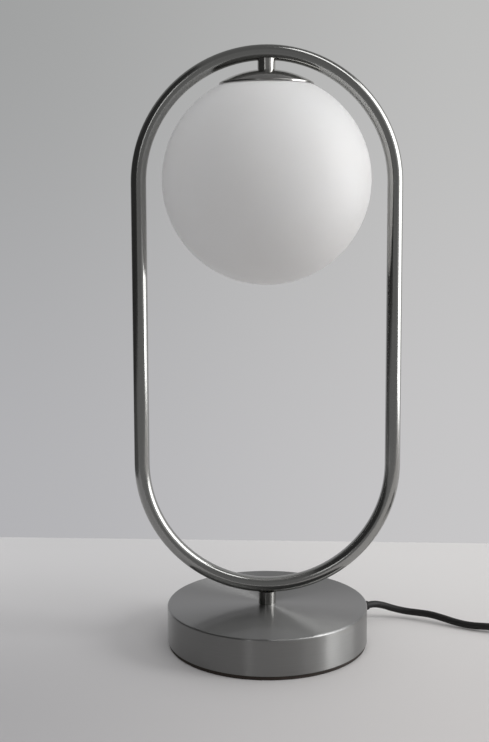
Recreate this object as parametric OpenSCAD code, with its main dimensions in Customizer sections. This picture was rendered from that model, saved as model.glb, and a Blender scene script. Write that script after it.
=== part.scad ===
// Table lamp: an opal glass globe hangs from the top of an upright oval loop of
// steel tube, which stands on a short stem in the middle of a round steel base.
// Millimetres, +Z up, z = 0 is the surface that the lamp stands on. The loop lies
// in the XZ plane and the lamp's front faces -Y.

/* [Base] */
// Outside diameter of the round steel cover
base_d = 198; // [180:1:230]
// Height of the steel cover, without the pad under it
cover_h = 35; // [32:1:50]
// Thickness of the cover's side wall
cover_wall = 1.5; // [1:0.1:2.5]
// Thickness of the cover's top
cover_top_t = 2; // [1.5:0.1:3]
// Radius of the cover's rounded top edge
rim_r = 1.5; // [1:0.1:2.5]
// Thickness of the soft pad that the lamp stands on
pad_t = 4; // [2:0.5:5]
// How far the pad's edge lies inside the cover's edge
pad_inset = 1; // [1:0.5:8]
// Thickness of the steel plate that closes the base
plate_t = 2; // [1.5:0.1:3]
// Gap all round between the bottom plate and the cover
plate_gap = 0.3; // [0.2:0.05:0.6]
// Diameter of the cast weight
weight_d = 170; // [160:1:174]
// Thickness of the cast weight
weight_t = 10; // [8:0.5:12]
// Diameter of the posts that take the bottom screws
post_d = 10; // [8:0.5:14]
// Distance of the posts from the lamp's axis
post_r = 72; // [60:1:74]
// Number of posts and bottom screws
post_count = 3; // [3:1:5]
// Thread diameter of the bottom screws
screw_d = 4; // [3:0.5:5]
// Length of the bottom screws
screw_l = 12; // [8:1:14]

/* [Stem] */
// Diameter of the bushes between base and loop, and between loop and cap
bush_d = 17; // [15:0.5:20]
// Height of the stem between base and loop
stem_h = 11; // [8:0.5:20]
// Height of the short stub between loop and cap
stub_h = 8.5; // [7:0.5:16]
// How far the bushes reach up the sides of the tube
saddle_h = 1.5; // [0.8:0.1:2.5]
// Outside diameter of the hollow threaded rods
rod_d = 10; // [9:0.5:11]
// Bore of the hollow threaded rods
rod_bore = 7; // [6:0.5:7.5]
// Play between a thread and its hole
thread_gap = 0.1; // [0.05:0.05:0.2]
// Width across the flats of the nuts on the rods
nut_af = 14; // [13:0.5:17]
// Thickness of the nuts on the rods
nut_t = 5; // [4:0.5:6]
// Diameter of the washer under the weight
washer_d = 24; // [20:1:30]
// Thickness of the washer under the weight
washer_t = 1.5; // [1:0.1:2.5]

/* [Loop] */
// Outside width of the loop
loop_w = 261; // [250:1:300]
// Length of the straight runs between the two arches
loop_run = 273; // [240:1:320]
// Outside diameter of the loop's tube
tube_d = 15; // [13:0.5:18]
// Wall of the loop's tube
tube_wall = 1.2; // [1:0.1:1.6]
// Diameter of the holes that let the wires into the tube
wire_hole_d = 8; // [7:0.5:9]

/* [Globe] */
// Outside diameter of the glass globe
globe_d = 200; // [190:1:205]
// Thickness of the glass
glass_t = 2.5; // [2:0.1:3.5]
// Diameter of the globe's open mouth
mouth_d = 80; // [76:1:84]
// Diameter of the steel cap over the mouth
cap_d = 90; // [88:1:104]
// Height of the cap's dome, from its rim to its top
cap_rise = 12.7; // [11.5:0.1:15]
// Thickness of the cap
cap_t = 1.5; // [1:0.1:2]
// Gap between the cap's rim and the glass
cap_gap = 0.4; // [0.3:0.05:0.6]

/* [Gallery] */
// Diameter of the plate that carries the leaf springs
gallery_d = 52; // [44:1:54]
// Thickness of the gallery plate
gallery_t = 1.2; // [1:0.1:1.6]
// Number of leaf springs that hold the globe
spring_count = 3; // [3:1:4]
// Width of a leaf spring
spring_w = 8; // [5:0.5:10]
// Thickness of a leaf spring
spring_t = 0.5; // [0.4:0.1:0.8]
// Gap between the springs and the edge of the mouth
spring_gap = 0.5; // [0.3:0.1:0.8]
// How far a spring reaches out under the edge of the mouth
spring_reach = 1.8; // [1.2:0.1:2.5]
// Depth of a spring's crest below the edge of the mouth
spring_crest = 4.4; // [4:0.1:6]
// Depth of a spring's free end below the edge of the mouth
spring_tail = 14; // [12:0.5:18]
// How far a spring's free end turns in, so that the globe slides over it
spring_lead_in = 4.5; // [3:0.5:7]

/* [Lampholder and bulb] */
// Outside diameter of the lampholder
holder_d = 38; // [36:0.5:42]
// Wall of the lampholder's shells
holder_wall = 2; // [1.5:0.1:2.4]
// Diameter of the boss that screws on the rod
boss_d = 16; // [14:0.5:18]
// Height of that boss
boss_h = 6; // [4:0.5:8]
// Height of the lampholder's upper shell under the boss
holder_cap_h = 18; // [17:0.5:22]
// Height of the lampholder's lower shell
holder_skirt_h = 34; // [30:1:38]
// Inside diameter of the screw shell
shell_bore = 26.6; // [26.4:0.1:26.8]
// Wall of the screw shell
shell_wall = 0.4; // [0.3:0.1:0.5]
// Height of the bulb's screw cap
bulb_cap_h = 24; // [22:1:26]
// Diameter of the bulb's glass
bulb_d = 60; // [45:1:64]
// Distance from the bulb's screw cap to the middle of its round glass
bulb_drop = 52; // [46:1:58]
// Thickness of the bulb's glass
bulb_glass_t = 1; // [0.6:0.1:1.2]

/* [Cord entry] */
// Diameter of the mains cord
cord_d = 7; // [6.5:0.5:7]
// Direction in which the cord leaves the base, in degrees from +X
exit_angle = 28; // [20:1:40]
// Height of the cord's axis where it leaves the base
exit_z = 16; // [15.5:0.5:17]
// Length of the strain relief outside the cover
relief_l = 20; // [20:1:26]
// Diameter of the flanges that hold the strain relief in the wall
flange_d = 13; // [12:0.5:14]
// Thickness of those flanges
flange_t = 2; // [1.5:0.1:3]
// Diameter of a wire's insulation
wire_d = 2.2; // [1.8:0.1:2.4]

/* [Cord switch] */
// Length of the switch housing
switch_l = 62; // [56:1:64]
// Width of the switch housing
switch_w = 28; // [26:0.5:30]
// Height of the switch housing
switch_h = 19; // [18:0.5:22]
// Length of the rocker
rocker_l = 23; // [20:1:26]
// Width of the rocker
rocker_w = 12.4; // [10:0.2:14]
// Angle that the rocker tips each way from level
rocker_tip = 9; // [6:1:11]
// Gap round the rocker in its window
rocker_gap = 0.4; // [0.3:0.1:0.6]

/* [Plug] */
// Width of the plug across its two pins
plug_w = 35.3; // [34:0.1:36]
// Thickness of the plug
plug_t = 13.7; // [13:0.1:14]
// Length of the plug's body
plug_l = 36; // [32:1:40]
// Distance between the two pins
pin_pitch = 18.6; // [18:0.1:19]
// Diameter of a pin
pin_d = 4; // [3.8:0.1:4.2]
// Length of a pin
pin_l = 19; // [18:0.5:20]

/* [Coil of put away cord] */
// Radius of the coil's outermost turn, at the cord's axis
coil_r = 52; // [48:1:56]
// Gap between turns that lie side by side or on each other
coil_gap = 0.7; // [0.6:0.1:1]

/* [Hidden] */
$fn = 96;
// Small overrun that lets one cut pass right through a face
past = 1;
// Play between faces that are shaped to each other and stay together
seat_gap = 0.05;

// Heights, from the table up
cover_z = pad_t;
base_top = cover_z + cover_h;
weight_top = base_top - cover_top_t;
weight_z = weight_top - weight_t;
plate_top = cover_z + plate_t;
loop_bottom = base_top + stem_h;
arch_r = loop_w / 2 - tube_d / 2;
arch_low = loop_bottom + loop_w / 2;
arch_high = arch_low + loop_run;
loop_under_top = arch_high + loop_w / 2 - tube_d;
cap_top = loop_under_top - stub_h;

// Globe, cap and mouth
globe_r = globe_d / 2;
mouth_r = mouth_d / 2;
cap_out_r = (pow(cap_d / 2, 2) + pow(cap_rise, 2)) / (2 * cap_rise);
cap_in_r = cap_out_r - cap_t;
cap_z = cap_top - cap_out_r;
cap_rim_z = cap_z + sqrt(pow(cap_in_r, 2) - pow(cap_d / 2, 2));
globe_z = cap_rim_z - sqrt(pow(globe_r + cap_gap, 2) - pow(cap_d / 2, 2));
mouth_in_z = globe_z + sqrt(pow(globe_r - glass_t, 2) - pow(mouth_r, 2));

// Nuts and the stack under the cap
rod_hole_d = rod_d + 0.6;
nut_corner_r = nut_af / 2 / cos(30);
cap_nut_top = cap_z + sqrt(pow(cap_in_r, 2) - pow(nut_corner_r, 2)) - seat_gap;
gallery_top = cap_nut_top - nut_t;
gallery_z = gallery_top - gallery_t;
holder_top = gallery_z - spring_t - seat_gap;
shoulder_z = holder_top - boss_h;
joint_z = shoulder_z - holder_cap_h;
skirt_z = joint_z - holder_skirt_h;
core_r = holder_d / 2 - holder_wall - 0.2;
holder_top_wall = 3;
collar_h = 8;
core_top = shoulder_z - holder_top_wall - wire_d - 1;
core_boss_r = 12.6;
shell_h = 26;
shell_hole_r = 10;
core_hole_y = 6;
core_hole_d = 4;
contact_t = 0.6;
contact_h = 1.5;
button_h = 1.4;
bulb_cap_top = joint_z - contact_h - button_h - seat_gap;
bulb_cap_z = bulb_cap_top - bulb_cap_h;
bulb_cap_r = shell_bore / 2 - 0.3;
bulb_z = bulb_cap_z - bulb_drop;

// Cord entry, seen along the direction in which the cord leaves
wall_in = sqrt(pow(base_d / 2 - cover_wall, 2) - pow(flange_d / 2, 2)) - seat_gap;
wall_out = base_d / 2 + seat_gap;
relief_tip = base_d / 2 + relief_l;
cord_hole_d = cord_d + 3.6;
clamp_x = 66;
clamp_w = 26;
clamp_l = 9;
clamp_screw_y = 9;
clamp_screw_d = 3;
clamp_t = 4;
clamp_pad_z = exit_z + cord_d / 2 + seat_gap;
sheath_end = 54;
block_x = [28, 46];
block_w = 17;
block_z = exit_z - 5;
wire_y = 4;
wire_pair_y = wire_d / 2 + 0.2;

// Cord route: round numbers, chosen by hand, from the strain relief to the plug
exit_dir = [cos(exit_angle), sin(exit_angle), 0];
relief_end = [0, 0, exit_z] + relief_tip * exit_dir;
lead_route = concat([relief_end, relief_end + cord_d * exit_dir], [
    [121, 62.5, 13.8], [132, 63, 10.4], [145, 61.5, 7.9], [158, 57.5, 7.5], [170, 52, 7.5],
    [182, 44.5, 6.5], [194, 37, 5], [207, 30, 4.5], [221, 24, 5.5], [236, 20, 6],
    [252, 19.5, 5], [267, 23, 4.5], [281, 29.5, 5.5], [293, 35, 8], [304, 38, 9],
    [312, 38, 9]
]);
switch_start = [312, 38, 9];
neck_l = 6;
switch_mid = switch_start + [neck_l + switch_l / 2, 0, -9];
switch_end = switch_start + [switch_l + 2 * neck_l, 0, 0];
coil_mid = [376, -35, 0];
link_route = concat([switch_end, switch_end + [cord_d, 0, 0]], [
    [399, 36.5, 7.5], [412, 32, 5.5], [422, 22.5, 4], [427, 9, 3.5], [428, -6, 3.5],
    [428, -18, 3.5], [428, -28, 3.5]
]);
tail_y = coil_mid[1] - coil_r;
plug_tip = [341, tail_y, plug_t / 2];
coil_end = [coil_mid[0] - cord_d, tail_y, 1.5 * cord_d + coil_gap];
tail_route = [
    coil_end, coil_end - [cord_d, 0, 0], [355, tail_y, 9], plug_tip + [cord_d, 0, 0], plug_tip
];

// Turns of the coil: in on the lower layer, out again on the upper one
coil_turns = 5.25;
rings_a_turn = 24;
coil_pitch = cord_d + coil_gap;
coil_steps = coil_turns * rings_a_turn;
function coil_ring(i) =
    let(
        turn = i / rings_a_turn,
        half = coil_turns / 2,
        r = coil_r - coil_pitch * (turn < half ? turn : coil_turns - turn),
        climb = min(1, max(0, (turn - half + 0.25) / 0.5)),
        z = cord_d / 2 + coil_pitch * climb * climb * (3 - 2 * climb),
        a = -360 * turn
    )
    [coil_mid[0] + r * cos(a), coil_mid[1] + r * sin(a), z];
coil_start = coil_ring(0) + [0, cord_d, 0];
coil_points = concat([coil_start], [for (i = [0:coil_steps]) coil_ring(i)], [coil_end]);

// Length of a route, and the least gap of a coiled tube to itself
function route_length(p) = [for (i = 1, s = 0; i <= len(p); s = s + norm(p[min(i, len(p) - 1)]
    - p[i - 1]), i = i + 1) s][len(p) - 1];
function self_gap(p, d, apart) = min([for (i = [0:len(p) - 1]) for (j = [i + apart:1:len(p) - 1])
    norm(p[i] - p[j])]) - d;
echo(coil_self_gap = self_gap(coil_points, cord_d, 12));
echo(lead_length = route_length(lead_route), link_length = route_length(link_route));
echo(coil_length = route_length(coil_points), tail_length = route_length(tail_route));

// Two wires run from the terminals up the stem, round the loop and down to the lampholder
bend_r = 5;
bend_step = 22.5;
arch_step = 7.5;
wire_start_z = exit_z;
wire_low = wire_start_z - 6;
function in_base(x, z, y) = [
    x * cos(exit_angle) - y * sin(exit_angle), x * sin(exit_angle) + y * cos(exit_angle), z
];
function wire_route(side) = concat(
    [
        in_base(block_x[0] + 5, wire_start_z, side * wire_y),
        in_base(block_x[0] - 4, wire_start_z, side * wire_y),
        in_base(block_x[0] - 12, wire_low + 2, side * (wire_y + wire_pair_y) / 2)
    ],
    [for (t = [0:bend_step:90])
        in_base(bend_r * (1 - sin(t)), wire_low + bend_r * (1 - cos(t)), side * wire_pair_y)],
    [for (t = [0:bend_step:90])
        [bend_r * (1 - cos(t)), side * wire_pair_y,
            loop_bottom + tube_d / 2 - bend_r * (1 - sin(t))]],
    [for (t = [-90 + arch_step:arch_step:0])
        [arch_r * cos(t), side * wire_pair_y, arch_low + arch_r * sin(t)]],
    [for (t = [0:arch_step:90 - arch_step])
        [arch_r * cos(t), side * wire_pair_y, arch_high + arch_r * sin(t)]],
    [for (t = [0:bend_step:90])
        [bend_r * (1 - sin(t)), side * wire_pair_y,
            loop_under_top + tube_d / 2 - bend_r * (1 - cos(t))]],
    [
        [0, side * wire_pair_y, shoulder_z],
        [0, side * (wire_pair_y + 0.3), shoulder_z - holder_top_wall + 0.8],
        [0, side * (wire_pair_y + core_hole_y) / 2, core_top + wire_d / 2 + 0.6],
        [0, side * (core_hole_y - 0.6), core_top + wire_d / 2],
        [0, side * core_hole_y, core_top - 1],
        [0, side * core_hole_y, core_top - 3.5]
    ]
);

// A round tube swept along points, as triangles. across is never parallel to the route.
function unit(v) = v / norm(v);
function way(p, i) = unit(p[min(i + 1, len(p) - 1)] - p[max(i - 1, 0)]);
module swept_tube(p, d, sides, across) {
    rings = [for (i = [0:len(p) - 1])
        let(t = way(p, i), u = unit(cross(across, t)), v = cross(t, u))
        for (k = [0:sides - 1])
            p[i] + d / 2 * (cos(360 * k / sides) * u + sin(360 * k / sides) * v)];
    last = (len(p) - 1) * sides;
    sides_of_tube = [for (i = [0:len(p) - 2]) for (k = [0:sides - 1])
        let(a = i * sides + k, b = i * sides + (k + 1) % sides)
        each [[a, b + sides, b], [a, a + sides, b + sides]]];
    ends = [for (k = [1:sides - 2])
        each [[0, k, k + 1], [last, last + k + 1, last + k]]];
    polyhedron(points = rings, faces = concat(sides_of_tube, ends));
}

// Rectangle with round corners, round its own middle
module round_rect(l, w, r) {
    square([l - 2 * r, w], center = true);
    square([l, w - 2 * r], center = true);
    for (x = [-1, 1]) for (y = [-1, 1])
        translate([x * (l / 2 - r), y * (w / 2 - r)]) circle(r);
}

// Places its children along the direction in which the cord leaves the base
module at_exit() {
    rotate([0, 0, exit_angle]) children();
}

// Lays a shape that was turned about Z along X
module along_x(x, z) {
    translate([x, 0, z]) rotate([0, 90, 0]) children();
}

// Full oval of a solid round bar, used as the tube and as what is cut from it
module loop_bar(d) {
    for (side = [0, 1]) {
        translate([0, 0, side ? arch_high : arch_low])
            mirror([0, 0, 1 - side])
                rotate([90, 0, 0])
                    rotate_extrude(angle = 180) translate([arch_r, 0]) circle(d = d);
    }
    for (side = [-1, 1])
        translate([side * arch_r, 0, arch_low]) cylinder(h = loop_run, d = d);
}

module hex_nut(z) {
    translate([0, 0, z])
        difference() {
            cylinder(h = nut_t, r = nut_corner_r, $fn = 6);
            translate([0, 0, -past]) cylinder(h = nut_t + 2 * past, d = rod_d + 2 * thread_gap);
        }
}

module hollow_rod(low, high) {
    translate([0, 0, low])
        difference() {
            cylinder(h = high - low, d = rod_d);
            translate([0, 0, -past]) cylinder(h = high - low + 2 * past, d = rod_bore);
        }
}

// Places its children at each post of the weight
module at_posts() {
    for (i = [0:post_count - 1])
        rotate([0, 0, 90 + i * 360 / post_count]) translate([post_r, 0, 0]) children();
}

// Spun steel cover, open underneath, with a small round edge at the top
module base_cover() {
    r = base_d / 2;
    color([0.62, 0.62, 0.61])
        difference() {
            translate([0, 0, cover_z])
                rotate_extrude()
                    difference() {
                        union() {
                            square([r, cover_h - rim_r]);
                            square([r - rim_r, cover_h]);
                            translate([r - rim_r, cover_h - rim_r]) circle(rim_r);
                        }
                        translate([-past, -past])
                            square([r - cover_wall + past, cover_h - cover_top_t + past]);
                        translate([-2 * past, -past]) square([2 * past, cover_h + 2 * past]);
                    }
            translate([0, 0, weight_top - past])
                cylinder(h = cover_top_t + 2 * past, d = rod_hole_d);
            at_exit()
                along_x(base_d / 2 - cover_wall - 2 * past, exit_z)
                    cylinder(h = cover_wall + 4 * past, d = cord_hole_d);
        }
}

// Cast weight with posts for the bottom screws and a pad over the cord clamp
module base_weight() {
    chamfer = 1.5;
    color([0.25, 0.25, 0.26])
        difference() {
            union() {
                translate([0, 0, weight_z]) cylinder(h = weight_t - chamfer, d = weight_d);
                translate([0, 0, weight_top - chamfer])
                    cylinder(h = chamfer, d1 = weight_d, d2 = weight_d - 2 * chamfer);
                at_posts()
                    translate([0, 0, plate_top]) cylinder(h = weight_z - plate_top + past, d = post_d);
                at_exit()
                    translate([clamp_x - clamp_l / 2, -clamp_w / 2, clamp_pad_z])
                        cube([clamp_l, clamp_w, weight_z - clamp_pad_z + past]);
            }
            translate([0, 0, weight_z - past]) cylinder(h = weight_t + 2 * past, d = rod_hole_d);
            at_posts()
                translate([0, 0, plate_top - past])
                    cylinder(h = screw_l + past, d = screw_d + 2 * thread_gap);
            at_exit()
                for (y = [-1, 1])
                    translate([clamp_x, y * clamp_screw_y, clamp_pad_z - past])
                        cylinder(h = 6 + past, d = clamp_screw_d + 2 * thread_gap);
        }
}

// Steel plate that closes the base, with countersunk holes
module bottom_plate() {
    color([0.5, 0.5, 0.5])
        difference() {
            translate([0, 0, cover_z])
                cylinder(h = plate_t, d = base_d - 2 * cover_wall - 2 * plate_gap);
            at_posts() {
                translate([0, 0, cover_z - past])
                    cylinder(h = plate_t + 2 * past, d = screw_d + 4 * thread_gap);
                translate([0, 0, cover_z - seat_gap])
                    cylinder(h = plate_t, d1 = 2 * screw_d, d2 = screw_d + 4 * thread_gap);
            }
        }
}

// Soft black pad glued under the plate
module base_pad() {
    color([0.08, 0.08, 0.08]) cylinder(h = pad_t, d = base_d - 2 * pad_inset);
}

// Countersunk screws through the plate into the weight's posts
module bottom_screws() {
    color([0.7, 0.7, 0.68])
        at_posts() {
            difference() {
                union() {
                    translate([0, 0, cover_z])
                        cylinder(h = plate_t, d1 = 2 * screw_d - 0.4, d2 = screw_d);
                    translate([0, 0, plate_top]) cylinder(h = screw_l - 1, d = screw_d);
                }
                translate([0, 0, cover_z - past]) cylinder(h = past + 1, d = 2.2, $fn = 6);
            }
        }
}

// Turned bush between base and loop, cut to the tube's shape on top
module stem_bush() {
    color([0.75, 0.75, 0.75])
        difference() {
            translate([0, 0, base_top]) cylinder(h = stem_h + saddle_h, d = bush_d);
            loop_bar(tube_d + 2 * seat_gap);
            translate([0, 0, base_top - past])
                cylinder(h = stem_h + 2 * saddle_h + 2 * past, d = rod_d + 2 * thread_gap);
        }
}

// Hollow threaded rod that clamps base, weight and stem together
module base_rod() {
    color([0.78, 0.7, 0.45]) hollow_rod(weight_z - washer_t - nut_t - 2, loop_bottom - 1);
}

module base_washer() {
    color([0.7, 0.7, 0.68])
        difference() {
            translate([0, 0, weight_z - washer_t]) cylinder(h = washer_t, d = washer_d);
            translate([0, 0, weight_z - washer_t - past])
                cylinder(h = washer_t + 2 * past, d = rod_d + 2 * thread_gap);
        }
}

module base_nut() {
    color([0.7, 0.7, 0.68]) hex_nut(weight_z - washer_t - nut_t);
}

// Hollow steel tube bent to an upright oval, with a wire hole over the stem
// and another over the stub
module loop_tube() {
    color([0.6, 0.6, 0.6])
        difference() {
            loop_bar(tube_d);
            loop_bar(tube_d - 2 * tube_wall);
            for (z = [loop_bottom, loop_under_top])
                translate([0, 0, z - past]) cylinder(h = tube_d / 2 + past, d = wire_hole_d);
        }
}

// Turned stub under the loop's top, cut to the tube above and the cap below
module top_bush() {
    color([0.75, 0.75, 0.75])
        difference() {
            translate([0, 0, cap_top - 2 * saddle_h])
                cylinder(h = stub_h + 3 * saddle_h, d = bush_d);
            loop_bar(tube_d + 2 * seat_gap);
            translate([0, 0, cap_z]) sphere(cap_out_r + seat_gap);
            translate([0, 0, cap_top - 3 * saddle_h])
                cylinder(h = stub_h + 5 * saddle_h, d = rod_d + 2 * thread_gap);
        }
}

// Hollow threaded rod that carries the cap, the gallery and the lampholder
module top_rod() {
    color([0.78, 0.7, 0.45]) hollow_rod(shoulder_z, loop_under_top - 1);
}

// Spun dome whose rim fits the globe closely
module globe_cap() {
    color([0.72, 0.72, 0.72])
        difference() {
            intersection() {
                translate([0, 0, cap_z]) sphere(cap_out_r);
                translate([0, 0, cap_z + cap_out_r / 2]) cylinder(h = cap_out_r, d = cap_d);
            }
            translate([0, 0, cap_z]) sphere(cap_in_r);
            translate([0, 0, cap_top - cap_out_r / 2])
                cylinder(h = cap_out_r, d = rod_hole_d);
        }
}

module cap_nut() {
    color([0.7, 0.7, 0.68]) hex_nut(gallery_top);
}

// Round steel plate inside the mouth, with three windows pressed out of it
module gallery_plate() {
    window_r = gallery_d / 2 - 4;
    color([0.66, 0.66, 0.64])
        difference() {
            translate([0, 0, gallery_z]) cylinder(h = gallery_t, d = gallery_d);
            translate([0, 0, gallery_z - past]) cylinder(h = gallery_t + 2 * past, d = rod_hole_d);
            for (i = [0:spring_count - 1])
                rotate([0, 0, 90 + (i + 0.5) * 360 / spring_count])
                    translate([window_r - 5, 0, gallery_z - past])
                        cylinder(h = gallery_t + 2 * past, d = 8);
        }
}

// Steel leaf springs that reach out under the edge of the globe's mouth.
// The strip's line is given by its distance from the axis and its height.
spring_line = [
    [boss_d / 2 + 3, gallery_z - spring_t / 2],
    [gallery_d / 2, gallery_z - spring_t / 2],
    [gallery_d / 2 + 5, gallery_z - 1.2],
    [mouth_r - spring_gap - 2.7, mouth_in_z + 2.6],
    [mouth_r - spring_gap - 0.7, mouth_in_z + 0.4],
    [mouth_r - spring_gap - 0.7 + 0.55 * (spring_reach + 1), mouth_in_z - 1.9],
    [mouth_r - spring_gap + spring_reach, mouth_in_z - spring_crest],
    [mouth_r - spring_gap + spring_reach - 0.9, mouth_in_z - spring_crest - 2],
    [mouth_r - spring_gap - spring_lead_in, mouth_in_z - spring_tail]
];
function strip_side(line, off) = [for (i = [0:len(line) - 1])
    let(t = way(line, i)) line[i] + off * [-t[1], t[0]]];
module gallery_springs() {
    low = strip_side(spring_line, -spring_t / 2);
    high = strip_side(spring_line, spring_t / 2);
    outline = concat(low, [for (i = [len(high) - 1:-1:0]) high[i]]);
    color([0.8, 0.8, 0.78])
        for (i = [0:spring_count - 1])
            rotate([0, 0, 90 + i * 360 / spring_count])
                translate([0, spring_w / 2, 0])
                    rotate([90, 0, 0]) linear_extrude(spring_w) polygon(outline);
}

// Upper shell of the lampholder, screwed on the rod by its boss
module holder_cap() {
    round_r = 4;
    r = holder_d / 2;
    color([0.93, 0.92, 0.88])
        rotate_extrude()
            difference() {
                union() {
                    translate([0, shoulder_z]) square([boss_d / 2, boss_h]);
                    translate([0, joint_z]) square([r, holder_cap_h - round_r]);
                    translate([0, joint_z]) square([r - round_r, holder_cap_h]);
                    translate([r - round_r, shoulder_z - round_r]) circle(round_r);
                }
                translate([-past, joint_z - past])
                    square([r - holder_wall + past, holder_cap_h - holder_top_wall + past]);
                translate([-past, joint_z - past])
                    square([rod_d / 2 + thread_gap + past, holder_cap_h + boss_h + 2 * past]);
            }
}

// Lower shell: its collar goes up inside the upper shell and holds the core
module holder_skirt() {
    r = holder_d / 2;
    bore_r = shell_bore / 2 + shell_wall + 0.8;
    color([0.93, 0.92, 0.88])
        rotate_extrude()
            difference() {
                union() {
                    translate([0, skirt_z]) square([r, holder_skirt_h - seat_gap]);
                    translate([0, skirt_z]) square([core_r, holder_skirt_h + collar_h]);
                }
                translate([-past, skirt_z - past])
                    square([bore_r + past, holder_skirt_h + collar_h + 2 * past]);
            }
}

// Ceramic core with the contacts on its underside
module holder_core() {
    color([0.96, 0.95, 0.9])
        difference() {
            union() {
                translate([0, 0, joint_z + collar_h + seat_gap])
                    cylinder(h = core_top - joint_z - collar_h, r = core_r);
                translate([0, 0, joint_z]) cylinder(h = collar_h + past, r = core_boss_r);
            }
            for (y = [-1, 1])
                translate([0, y * core_hole_y, core_top - 4])
                    cylinder(h = 4 + past, d = core_hole_d);
        }
}

// Brass shell that the bulb screws into, with a flange that bears on the core
module screw_shell() {
    color([0.85, 0.75, 0.45])
        difference() {
            translate([0, 0, joint_z - shell_h])
                cylinder(h = shell_h - seat_gap, d = shell_bore + 2 * shell_wall);
            translate([0, 0, joint_z - shell_h - past])
                cylinder(h = shell_h + past - shell_wall - seat_gap, d = shell_bore);
            translate([0, 0, joint_z - past]) cylinder(h = 2 * past, r = shell_hole_r);
        }
}

// Sprung brass tongue that touches the bulb's foot
module centre_contact() {
    under = joint_z - seat_gap - contact_t;
    color([0.85, 0.75, 0.45]) {
        translate([-8, -2.5, under]) cube([10, 5, contact_t]);
        translate([0, 0, joint_z - contact_h])
            cylinder(h = contact_h - seat_gap - contact_t / 2, d = 5);
    }
}

// The bulb's screw cap with its foot contact
module bulb_cap() {
    foot_h = 3;
    color([0.8, 0.8, 0.8])
        difference() {
            union() {
                translate([0, 0, bulb_cap_z]) cylinder(h = bulb_cap_h - foot_h, r = bulb_cap_r);
                translate([0, 0, bulb_cap_top - foot_h])
                    cylinder(h = foot_h, r1 = bulb_cap_r, r2 = 5);
                translate([0, 0, bulb_cap_top - past]) cylinder(h = button_h + past, d = 8);
            }
            translate([0, 0, bulb_cap_z - past])
                cylinder(h = bulb_cap_h - foot_h - 1 + past, r = bulb_cap_r - 0.5);
        }
}

// Half outline of the bulb's glass, drawn in by inset all round
module bulb_outline(inset) {
    r = bulb_d / 2 - inset;
    neck_r = bulb_cap_r - 0.4 - inset;
    neck = [neck_r, bulb_drop * 0.7];
    meet = atan2(neck[1], neck[0]) - acos(r / norm(neck));
    intersection() {
        union() {
            circle(r);
            polygon([[0, 0], [r * cos(meet), r * sin(meet)], neck,
                [neck_r, bulb_drop - inset], [0, bulb_drop - inset]]);
        }
        translate([0, -bulb_d]) square([bulb_d, bulb_d + bulb_drop]);
    }
}

// Frosted glass of the bulb, hollow
module bulb_glass() {
    color([0.95, 0.95, 0.92])
        translate([0, 0, bulb_z - seat_gap])
            difference() {
                rotate_extrude() bulb_outline(0);
                rotate_extrude() bulb_outline(bulb_glass_t);
            }
}

// Blown opal glass globe with a cut mouth at the top
module globe() {
    color([0.95, 0.95, 0.93])
        translate([0, 0, globe_z])
            difference() {
                sphere(globe_r, $fn = 128);
                sphere(globe_r - glass_t, $fn = 128);
                cylinder(h = globe_r + past, r = mouth_r);
            }
}

// Rubber strain relief: two flanges grip the wall, and a ribbed tail tapers outwards
module cord_grommet() {
    tail_r = cord_d / 2 + 2.4;
    tip_r = cord_d / 2 + 1;
    slot_w = 1.2;
    slots = [for (i = [0:3]) wall_out + flange_t + 2.5 + i * 4];
    color([0.07, 0.07, 0.07])
        at_exit() along_x(0, exit_z)
            rotate_extrude()
                difference() {
                    polygon([
                        [cord_d / 2 + thread_gap, wall_in - flange_t],
                        [flange_d / 2, wall_in - flange_t],
                        [flange_d / 2, wall_in],
                        [cord_hole_d / 2 - thread_gap, wall_in],
                        [cord_hole_d / 2 - thread_gap, wall_out],
                        [flange_d / 2, wall_out],
                        [flange_d / 2, wall_out + flange_t],
                        [tail_r, wall_out + flange_t],
                        [tip_r, relief_tip],
                        [cord_d / 2 + thread_gap, relief_tip]
                    ]);
                    for (x = slots)
                        translate([cord_d / 2 + 1.1, x]) square([tail_r, slot_w]);
                }
}

// Nylon bar that holds the cord against the weight
module cord_clamp() {
    color([0.85, 0.85, 0.82])
        at_exit()
            difference() {
                translate([clamp_x - clamp_l / 2, -clamp_w / 2, exit_z - cord_d / 2 - clamp_t / 2])
                    cube([clamp_l, clamp_w, cord_d + clamp_t / 2 - seat_gap]);
                along_x(clamp_x - clamp_l, exit_z) cylinder(h = 2 * clamp_l, d = cord_d + 2 * seat_gap);
                translate([clamp_x - clamp_l, -cord_d / 2, exit_z])
                    cube([2 * clamp_l, cord_d, cord_d]);
                for (y = [-1, 1])
                    translate([clamp_x, y * clamp_screw_y, 0])
                        cylinder(h = weight_z, d = clamp_screw_d + 2 * thread_gap);
            }
}

module clamp_screws() {
    head_h = 1.8;
    low = exit_z - cord_d / 2 - clamp_t / 2;
    color([0.7, 0.7, 0.68])
        at_exit()
            for (y = [-1, 1])
                translate([clamp_x, y * clamp_screw_y, 0]) {
                    translate([0, 0, low]) cylinder(h = cord_d + clamp_t / 2 + 5, d = clamp_screw_d);
                    translate([0, 0, low - head_h])
                        cylinder(h = head_h, d = 2 * clamp_screw_d - 0.4);
                }
}

// Two way connector block under the weight
module terminal_block() {
    length = block_x[1] - block_x[0];
    color([0.9, 0.9, 0.86])
        at_exit()
            difference() {
                union() {
                    translate([block_x[0], -block_w / 2, exit_z + wire_y])
                        cube([length, block_w, weight_z - exit_z - wire_y]);
                    for (y = [-1, 1])
                        translate([block_x[0], y * wire_y - 3.2, block_z])
                            cube([length, 6.4, exit_z + wire_y - block_z + past]);
                }
                for (y = [-1, 1])
                    translate([0, y * wire_y, 0])
                        along_x(block_x[0] - past, exit_z) cylinder(h = length + 2 * past, d = 4.4);
            }
}

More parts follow.
